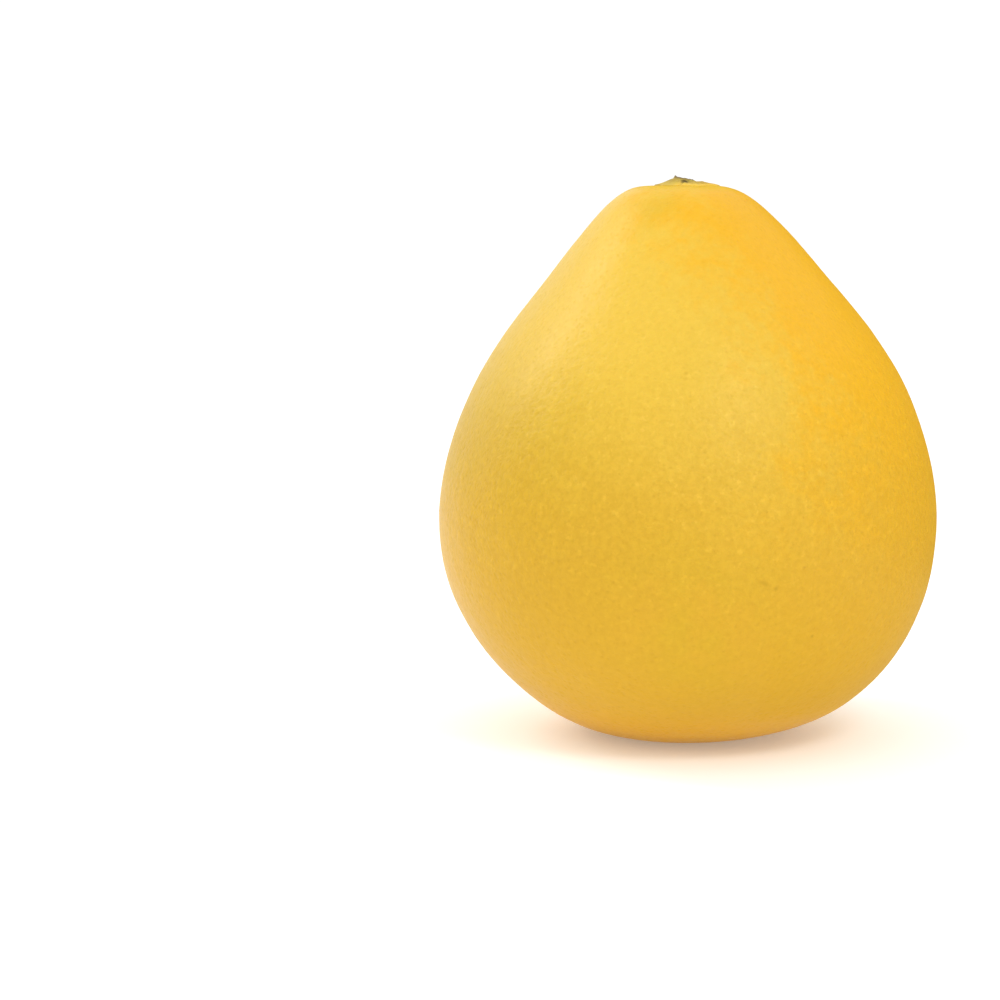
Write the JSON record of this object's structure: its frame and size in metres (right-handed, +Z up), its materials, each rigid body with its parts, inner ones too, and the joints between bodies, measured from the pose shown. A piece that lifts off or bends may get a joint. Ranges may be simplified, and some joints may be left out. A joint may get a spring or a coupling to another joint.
{
  "type": "pomelo",
  "caption": "Whole ripe pomelo, a large pear-shaped citrus fruit with a dry calyx and cut stalk stub, resting upright on a small flat spot.",
  "frame": {"origin": "middle of the bottom of the fruit's box, on the surface that it stands on", "axes": "+Z up through the stalk end, -Y towards the viewer of the picture, +X to that viewer's right"},
  "size_m": [0.1508, 0.1508, 0.1691],
  "materials": {
    "rind": "satin",
    "calyx": "matte",
    "stem_wood": "matte"
  },
  "bodies": {
    "root": {"fruit": "rind", "calyx": "calyx", "stem_stub": "stem_wood"}
  },
  "joints": []
}
